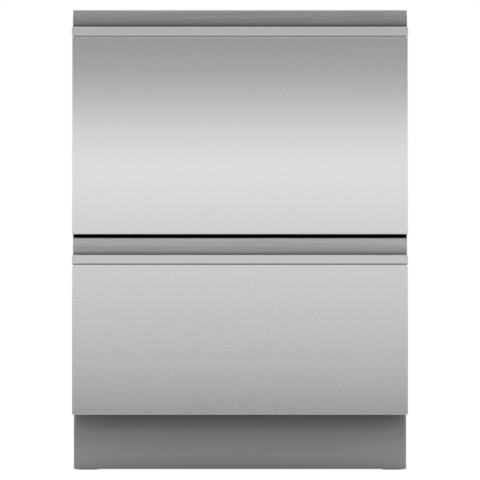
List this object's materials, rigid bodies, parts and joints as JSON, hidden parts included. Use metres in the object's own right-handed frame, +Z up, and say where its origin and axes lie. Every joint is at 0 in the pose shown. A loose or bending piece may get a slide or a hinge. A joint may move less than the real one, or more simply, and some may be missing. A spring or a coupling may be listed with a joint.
{
  "type": "dishwasher drawer",
  "caption": "Built-in dishwasher in which each tub slides out as a drawer, with brushed stainless fronts, full-width recessed handles, wire racks, a drop-down lid and a set-back toe kick.",
  "frame": {"origin": "on the floor, at the centre of the width and of the depth, under the levelling feet", "axes": "+Z up, +X to the right as seen from the front, and the drawer fronts face -Y, the way they slide out"},
  "size_m": [0.598, 0.573, 0.82],
  "materials": {
    "stainless_front": "horizontally brushed stainless steel",
    "galvanised": "satin galvanised sheet",
    "runner_steel": "zinc-plated, rolled",
    "black_plastic": "satin black",
    "rubber": "matt black",
    "grey_plastic": "satin",
    "tub_plastic": "satin light grey",
    "white_plastic": "satin",
    "coated_wire": "nylon-coated steel wire",
    "dark_plastic": "satin"
  },
  "bodies": {
    "cabinet": {"side_panel_left": "galvanised", "side_panel_right": "galvanised", "top_panel": "galvanised", "back_panel": "galvanised", "base_pan": "dark_plastic", "mid_crossbar": "black_plastic", "toe_kick": "stainless_front", "side_seal_left": "rubber", "side_seal_right": "rubber", "water_inlet": "dark_plastic", "drain_outlet": "dark_plastic", "upper_runner_fixed_left": "runner_steel", "upper_runner_fixed_right": "runner_steel", "upper_lid_actuator_left": "black_plastic", "upper_lid_actuator_right": "black_plastic", "lower_runner_fixed_left": "runner_steel", "lower_runner_fixed_right": "runner_steel", "lower_lid_actuator_left": "black_plastic", "lower_lid_actuator_right": "black_plastic"},
    "upper_drawer": {"upper_front_panel": "stainless_front", "upper_handle": "stainless_front", "upper_door_frame": "grey_plastic", "upper_control_pod": "black_plastic", "upper_tub": "tub_plastic", "upper_filter": "dark_plastic", "upper_wash_motor": "dark_plastic", "upper_rack": "coated_wire", "upper_runner_moving_left": "runner_steel", "upper_runner_moving_right": "runner_steel"},
    "upper_runner_left": {"upper_runner_middle_left": "runner_steel"},
    "upper_runner_right": {"upper_runner_middle_right": "runner_steel"},
    "upper_lid": {"upper_lid": "white_plastic", "upper_lid_seal": "rubber"},
    "upper_spray_arm": {"upper_spray_arm": "grey_plastic"},
    "upper_detergent_cover": {"upper_detergent_cover": "grey_plastic"},
    "upper_folding_tines": {"upper_folding_tines": "coated_wire"},
    "upper_cup_shelf": {"upper_cup_shelf": "coated_wire"},
    "lower_drawer": {"lower_front_panel": "stainless_front", "lower_handle": "stainless_front", "lower_door_frame": "grey_plastic", "lower_control_pod": "black_plastic", "lower_tub": "tub_plastic", "lower_filter": "dark_plastic", "lower_wash_motor": "dark_plastic", "lower_rack": "coated_wire", "lower_runner_moving_left": "runner_steel", "lower_runner_moving_right": "runner_steel"},
    "lower_runner_left": {"lower_runner_middle_left": "runner_steel"},
    "lower_runner_right": {"lower_runner_middle_right": "runner_steel"},
    "lower_lid": {"lower_lid": "white_plastic", "lower_lid_seal": "rubber"},
    "lower_spray_arm": {"lower_spray_arm": "grey_plastic"},
    "lower_detergent_cover": {"lower_detergent_cover": "grey_plastic"},
    "lower_folding_tines": {"lower_folding_tines": "coated_wire"},
    "lower_cup_shelf": {"lower_cup_shelf": "coated_wire"},
    "cutlery_basket": {"cutlery_basket": "dark_plastic"},
    "front_left_foot": {"front_left_foot": "dark_plastic"},
    "front_right_foot": {"front_right_foot": "dark_plastic"},
    "rear_left_foot": {"rear_left_foot": "dark_plastic"},
    "rear_right_foot": {"rear_right_foot": "dark_plastic"}
  },
  "joints": [
    {"name": "upper_drawer_slide", "type": "slide", "parent": "cabinet", "child": "upper_drawer", "axis": [0, -1, 0], "range_m": [0, 0.48]},
    {"name": "upper_runner_left_slide", "type": "slide", "parent": "cabinet", "child": "upper_runner_left", "axis": [0, -1, 0], "range_m": [0, 0.24]},
    {"name": "upper_runner_right_slide", "type": "slide", "parent": "cabinet", "child": "upper_runner_right", "axis": [0, -1, 0], "range_m": [0, 0.24]},
    {"name": "upper_lid_drop", "type": "slide", "parent": "cabinet", "child": "upper_lid", "axis": [0, 0, 1], "range_m": [-0.0077, 0]},
    {"name": "upper_spray_arm_spin", "type": "hinge", "parent": "upper_drawer", "child": "upper_spray_arm", "pos_m": [0, 0.0065, 0.515], "axis": [0, 0, 1], "continuous": true},
    {"name": "upper_detergent_cover_slide", "type": "slide", "parent": "upper_drawer", "child": "upper_detergent_cover", "axis": [1, 0, 0], "range_m": [0, 0.046]},
    {"name": "upper_folding_tines_hinge", "type": "hinge", "parent": "upper_drawer", "child": "upper_folding_tines", "pos_m": [0.098, 0.0025, 0.5462], "axis": [-1, 0, 0], "range_deg": [0, 80]},
    {"name": "upper_cup_shelf_hinge", "type": "hinge", "parent": "upper_drawer", "child": "upper_cup_shelf", "pos_m": [-0.229, -0.0115, 0.616], "axis": [0, -1, 0], "range_deg": [0, 85]},
    {"name": "lower_drawer_slide", "type": "slide", "parent": "cabinet", "child": "lower_drawer", "axis": [0, -1, 0], "range_m": [0, 0.48]},
    {"name": "lower_runner_left_slide", "type": "slide", "parent": "cabinet", "child": "lower_runner_left", "axis": [0, -1, 0], "range_m": [0, 0.24]},
    {"name": "lower_runner_right_slide", "type": "slide", "parent": "cabinet", "child": "lower_runner_right", "axis": [0, -1, 0], "range_m": [0, 0.24]},
    {"name": "lower_lid_drop", "type": "slide", "parent": "cabinet", "child": "lower_lid", "axis": [0, 0, 1], "range_m": [-0.0077, 0]},
    {"name": "lower_spray_arm_spin", "type": "hinge", "parent": "lower_drawer", "child": "lower_spray_arm", "pos_m": [0, 0.0065, 0.176], "axis": [0, 0, 1], "continuous": true},
    {"name": "lower_detergent_cover_slide", "type": "slide", "parent": "lower_drawer", "child": "lower_detergent_cover", "axis": [1, 0, 0], "range_m": [0, 0.046]},
    {"name": "lower_folding_tines_hinge", "type": "hinge", "parent": "lower_drawer", "child": "lower_folding_tines", "pos_m": [0.098, 0.0025, 0.2072], "axis": [-1, 0, 0], "range_deg": [0, 80]},
    {"name": "lower_cup_shelf_hinge", "type": "hinge", "parent": "lower_drawer", "child": "lower_cup_shelf", "pos_m": [-0.229, -0.0115, 0.277], "axis": [0, -1, 0], "range_deg": [0, 85]},
    {"name": "cutlery_basket_lift", "type": "slide", "parent": "upper_drawer", "child": "cutlery_basket", "axis": [0, 0, 1], "range_m": [0, 0.12]},
    {"name": "front_left_foot_screw", "type": "slide", "parent": "cabinet", "child": "front_left_foot", "axis": [0, 0, -1], "range_m": [0, 0.06]},
    {"name": "front_right_foot_screw", "type": "slide", "parent": "cabinet", "child": "front_right_foot", "axis": [0, 0, -1], "range_m": [0, 0.06]},
    {"name": "rear_left_foot_screw", "type": "slide", "parent": "cabinet", "child": "rear_left_foot", "axis": [0, 0, -1], "range_m": [0, 0.06]},
    {"name": "rear_right_foot_screw", "type": "slide", "parent": "cabinet", "child": "rear_right_foot", "axis": [0, 0, -1], "range_m": [0, 0.06]}
  ],
  "couplings": [
    {"joint": "upper_runner_left_slide", "follows": "upper_drawer_slide", "ratio": 0.5},
    {"joint": "upper_runner_right_slide", "follows": "upper_drawer_slide", "ratio": 0.5},
    {"joint": "lower_runner_left_slide", "follows": "lower_drawer_slide", "ratio": 0.5},
    {"joint": "lower_runner_right_slide", "follows": "lower_drawer_slide", "ratio": 0.5}
  ]
}
